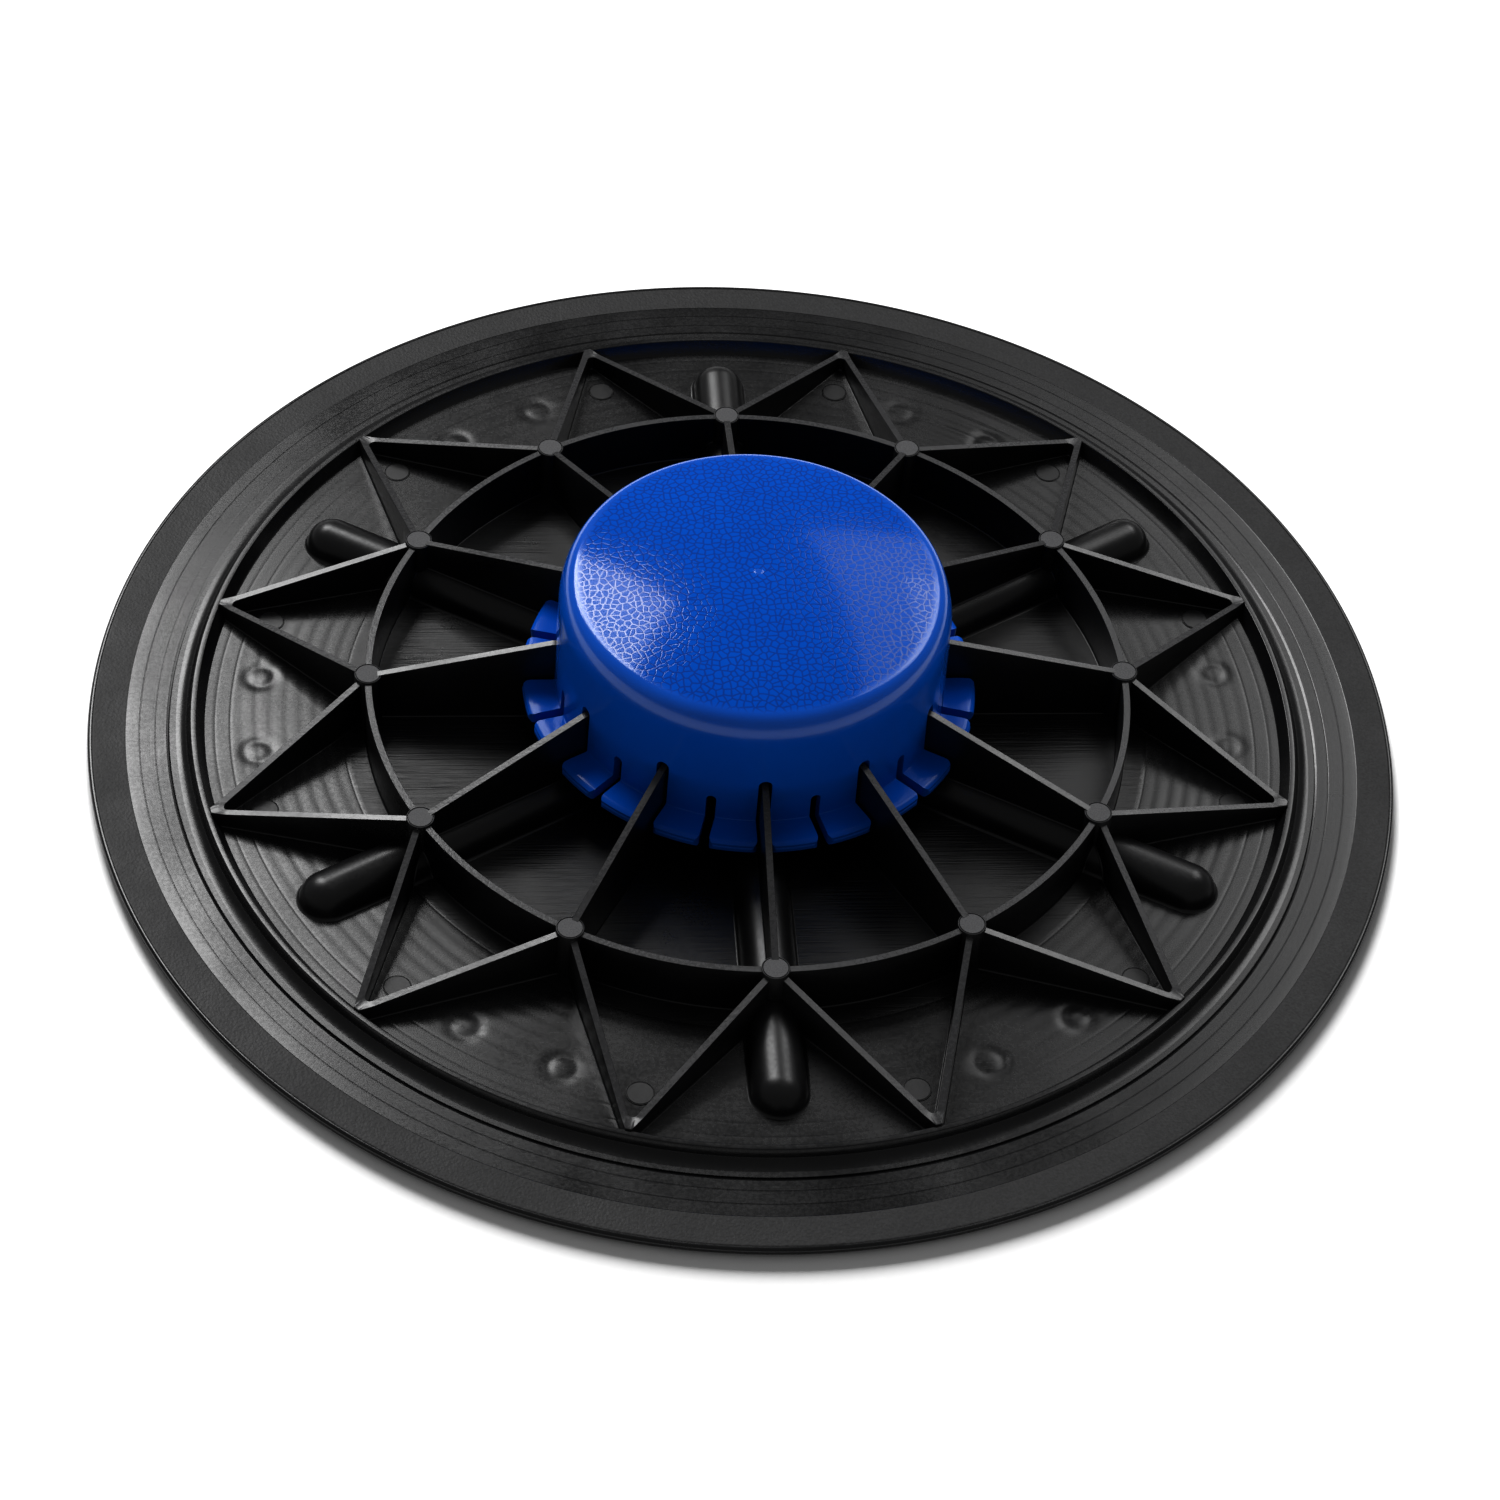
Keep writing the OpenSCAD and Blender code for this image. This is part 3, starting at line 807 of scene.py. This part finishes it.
def upward_faces(n, z):
    """1 on the faces that look up and stand above the plate."""
    up = n.split(n.add("ShaderNodeNewGeometry").outputs["Normal"])[2]
    return n.math("MULTIPLY", n.remap(up, 0.86, 0.93), n.remap(z, DECK_TOP + 2 * MM, DECK_TOP + 3 * MM))


def black_moulded(name, roughness=0.36, turned=0.0, grain=0.3, hatched=0.0, painted_top_light=False):
    """Satin black plastic with flow marks in its gloss, orange peel and fine scratches. turned and
    hatched are the heights of turned rings and brush marks. The last argument paints light on the faces that
    look up as a greyer colour, and gives them a fine grain and a little less roughness."""
    n = Nodes(name)
    radius, z = n.radius_height()
    flow = n.noise(28.0, 3.0, 0.55)
    fine = n.noise(900.0, 2.0, 0.6)
    peel = n.noise(2600.0, 1.0, 0.5)
    scratch = n.remap(n.noise(1.0, 3.0, 0.7, n.stretched(0.6, (60.0, 2400.0, 400.0))), 0.62, 0.74)
    colour = n.colour_mix(n.remap(flow, 0.35, 0.7), BLACK_DEEP, BLACK_SOFT)
    heights = [(fine, grain), (peel, 0.35 * grain), (scratch, -0.08)]
    roughs = [(n.remap(flow, 0.3, 0.7, roughness - 0.05, roughness + 0.06), 1.0),
              (n.remap(fine, 0.4, 0.6, -1, 1), 0.025), (scratch, 0.08)]
    if turned:
        heights.append((n.turned_lines(radius, 900.0), turned))
    if hatched:
        marks, inside = cross_strokes(n, radius)
        heights.append((marks, hatched))
        roughs.append((inside, 0.08))
    # Painted light: the faces that look up get a greyer colour, as if lit from above. Their grain bump and
    # lower roughness are real surface.
    if painted_top_light:
        top = upward_faces(n, z)
        colour = n.colour_mix(n.math("MULTIPLY", top, n.remap(fine, 0.3, 0.7, 0.75, 1.0)), colour, BLACK_TOP_PAINTED_LIGHT)
        heights.append((n.math("MULTIPLY", top, fine), 0.7))
        roughs.append((top, -0.06))
    return n.finish(colour, n.total(roughs), n.bump(n.total(heights), 0.025 * MM))


def black_grained():
    """The rim's fine spark-eroded grain."""
    n = Nodes("rim_grain")
    coarse = n.noise(1300.0, 2.0, 0.6)
    pits = n.add("ShaderNodeTexVoronoi", Scale=1150.0)
    n.put(pits.inputs["Vector"], n.position)
    height = n.total([(coarse, 1.0), (pits.outputs["Distance"], 0.6)])
    rough = n.remap(n.noise(45.0, 3.0, 0.6), 0.3, 0.7, 0.46, 0.54)
    colour = n.colour_mix(n.remap(coarse, 0.35, 0.65), (0.012, 0.012, 0.0125), (0.026, 0.026, 0.027))
    return n.finish(colour, rough, n.bump(height, 0.08 * MM), 0.4)


def black_pin_face():
    """The rough round faces on the posts, left by the mould's pins."""
    n = Nodes("pin_face")
    coarse = n.noise(2300.0, 3.0, 0.7)
    rough = n.remap(coarse, 0.3, 0.7, 0.46, 0.62)
    colour = n.colour_mix(n.remap(coarse, 0.3, 0.7), (0.04, 0.04, 0.042), (0.12, 0.12, 0.124))
    return n.finish(colour, rough, n.bump(coarse, 0.1 * MM))


def leather(n):
    """Leather grain seen from above: 0 in the valleys, 1 on the pebbles."""
    wobble = 1.1 * MM
    warp = n.add("ShaderNodeTexNoise", Scale=260.0, Detail=2.0)
    n.put(warp.inputs["Vector"], n.position)
    shift = n.add("ShaderNodeVectorMath", operation="MULTIPLY_ADD")
    for socket, value in zip(shift.inputs, (warp.outputs["Color"], (wobble, wobble, wobble), n.position)):
        n.put(socket, value)
    cells = n.add("ShaderNodeTexVoronoi", feature="DISTANCE_TO_EDGE", voronoi_dimensions="2D", Scale=470.0)
    n.put(cells.inputs["Vector"], n.stretched(0.0, (1, 1, 0), shift.outputs[0]))
    return n.remap(cells.outputs["Distance"], 0.03, 0.17, smooth=True)


def blue_dome():
    """Leather grain on the crown with the gate's ring in its middle, and gloss on its edge and wall."""
    n = Nodes("dome_blue")
    radius, z = n.radius_height()
    pebble = leather(n)
    wrinkle = n.noise(1500.0, 3.0, 0.6)
    flow = n.noise(35.0, 3.0, 0.5)
    peel = n.noise(700.0, 1.0, 0.5)
    on_crown = n.remap(z, CROWN_Z, CROWN_Z + 2 * MM)
    grained = n.math("MULTIPLY", n.remap(radius, GRAIN_R, GRAIN_R - 3 * MM, smooth=True), on_crown)
    grained = n.math("MULTIPLY", grained, n.remap(radius, GATE_R - 0.25 * MM, GATE_R + 0.25 * MM))
    from_gate = n.math("ABSOLUTE", n.math("SUBTRACT", radius, GATE_R))
    gate = n.math("MULTIPLY", n.remap(from_gate, 0.35 * MM, 0.0, smooth=True), on_crown)
    grain = n.math("MULTIPLY", n.total([(pebble, 1.0), (wrinkle, 0.12)]), grained)
    height = n.total([(grain, 1.0), (peel, 0.015), (gate, -9.0)])
    rough = n.mix(grained, n.remap(flow, 0.3, 0.7, 0.12, 0.17), n.remap(pebble, 0.0, 1.0, 0.07, 0.1))
    above_feet = n.remap(z, FOOT_TOP, FOOT_TOP + 0.4 * MM, 0.15, 0.5)
    shine = n.mix(grained, above_feet, n.remap(pebble, 0.0, 0.8, 0.5, 0.1))
    colour = n.colour_mix(n.remap(flow, 0.3, 0.7), BLUE, BLUE_PALE)
    # Painted shade: the grain's valleys get a darker blue, as if shaded.
    valley_shade = n.math("MULTIPLY", grained, n.remap(pebble, 0.0, 1.0, 0.9, 0.0))
    colour = n.colour_mix(valley_shade, colour, BLUE_VALLEY_SHADE)
    return n.finish(colour, rough, n.bump(height, 0.009 * MM), shine)


def floor_material():
    """Matt white paper."""
    n = Nodes("floor_paper")
    fleck = n.noise(400.0, 2.0, 0.5)
    colour = n.colour_mix(fleck, (0.88, 0.88, 0.88), (0.91, 0.91, 0.91))
    return n.finish(colour, n.remap(fleck, 0, 1, 0.85, 0.95), n.bump(fleck, 0.02 * MM), 0.1)


# ---------------------------------------------------------------- stage
def floor():
    """The plain sheet that the object stands on."""
    mesh = bpy.data.meshes.new("floor")
    reach = 6.0
    mesh.from_pydata([(-reach, -reach, 0), (reach, -reach, 0), (reach, reach, 0), (-reach, reach, 0)],
                     [], [(0, 1, 2, 3)])
    mesh.materials.append(floor_material())
    made = bpy.data.objects.new("floor", mesh)
    bpy.context.scene.collection.objects.link(made)
    return made


CAMERA_AZIMUTH, CAMERA_ELEVATION, CAMERA_ROLL = math.radians(-7.65), math.radians(47.41), math.radians(5.33)


def direction(azimuth, elevation):
    """Unit vector away from the object. Azimuth 0 is +Y, and grows towards +X."""
    return Vector((math.sin(azimuth) * math.cos(elevation), math.cos(azimuth) * math.cos(elevation),
                   math.sin(elevation)))


def camera():
    """A long lens from the front and above, rolled a little."""
    target, distance = Vector((0.61, -13.09, 0)) * MM, 1120.8 * MM
    back = direction(math.pi - CAMERA_AZIMUTH, CAMERA_ELEVATION)
    level = Vector((0, 0, 1)).cross(back).normalized()
    up = back.cross(level)
    right = level * math.cos(CAMERA_ROLL) + up * math.sin(CAMERA_ROLL)
    up = up * math.cos(CAMERA_ROLL) - level * math.sin(CAMERA_ROLL)
    data = bpy.data.cameras.new("camera")
    data.lens, data.sensor_width = 87.94, 36.0
    made = bpy.data.objects.new("camera", data)
    place = Matrix.Translation(target + back * distance)
    made.matrix_world = place @ Matrix((right, up, back)).transposed().to_4x4()
    bpy.context.scene.collection.objects.link(made)
    bpy.context.scene.camera = made


def soft_light(name, azimuth, elevation, width, height, brightness, tilt, only, away=3.0):
    """A panel that faces the object. Azimuth 0 is straight behind it as the camera sees it.
    Its width, height and tilt are degrees, as the object sees them. only is the collection it lights."""
    towards = direction(math.radians(azimuth) - CAMERA_AZIMUTH, math.radians(elevation))
    data = bpy.data.lights.new(name, "AREA")
    data.shape = "RECTANGLE"
    data.size, data.size_y = [2 * away * math.tan(math.radians(v / 2)) for v in (width, height)]
    data.energy = 4 * data.size * data.size_y * brightness
    made = bpy.data.objects.new(name, data)
    made.location = towards * away
    made.rotation_mode = "QUATERNION"
    made.rotation_quaternion = towards.to_track_quat("Z", "Y") @ Quaternion((0, 0, 1), -math.radians(tilt))
    bpy.context.scene.collection.objects.link(made)
    made.light_linking.receiver_collection = only


def lights(ground_sheet):
    """Three panels behind the object that light everything but the sheet it stands on, and one
    that lights only that sheet."""
    sheet, others = bpy.data.collections.new("sheet"), bpy.data.collections.new("not_the_sheet")
    for group in (sheet, others):
        group.objects.link(ground_sheet)
    others.collection_objects[0].light_linking.link_state = "EXCLUDE"
    soft_light("panel_left", azimuth=-34, elevation=45.5, width=20, height=29, brightness=8.6,
               tilt=-35, only=others)
    soft_light("panel_right", azimuth=31, elevation=47, width=36, height=23, brightness=1.8,
               tilt=40, only=others)
    soft_light("panel_right_core", azimuth=36, elevation=44, width=24, height=17, brightness=2.4,
               tilt=40, only=others)
    soft_light("sheet_light", azimuth=-13, elevation=24, width=26, height=26, brightness=32,
               tilt=0, only=sheet, away=9.0)
    world = bpy.data.worlds.new("studio")
    world.use_nodes = True
    background = world.node_tree.nodes["Background"]
    background.inputs["Color"].default_value = (1, 1, 1, 1)
    background.inputs["Strength"].default_value = 0.22
    bpy.context.scene.world = world


# ---------------------------------------------------------------- build
camera()
lights(floor())
view = bpy.context.scene.view_settings
view.view_transform, view.exposure, view.gamma = "Standard", 0.25, 0.75

plain = black_moulded("black_satin")
field = black_moulded("black_field", roughness=0.25, turned=0.15, grain=0.11, hatched=1.6)
band = black_moulded("black_band", roughness=0.22, turned=0.3)
# The ribs' tops get painted light: a greyer colour on the faces that look up.
rib = black_moulded("black_rib", roughness=0.33, grain=0.9, painted_top_light=True)
gloss = black_moulded("black_channel", roughness=0.34, grain=0.12)
blue = blue_dome()

deck_plate([field])
outer_band(band, black_grained())
ridge([band])
ring_wall([rib])
for i in RIBS:
    spoke(i, [rib])
    star_web(i, [rib])
for i in CHANNELS:
    channel_shell(i, [gloss])
posts(rib, black_pin_face())
ejector_marks([plain])
hub([plain])
grip_pattern([plain])
dome_shell([blue])
spigot([blue])
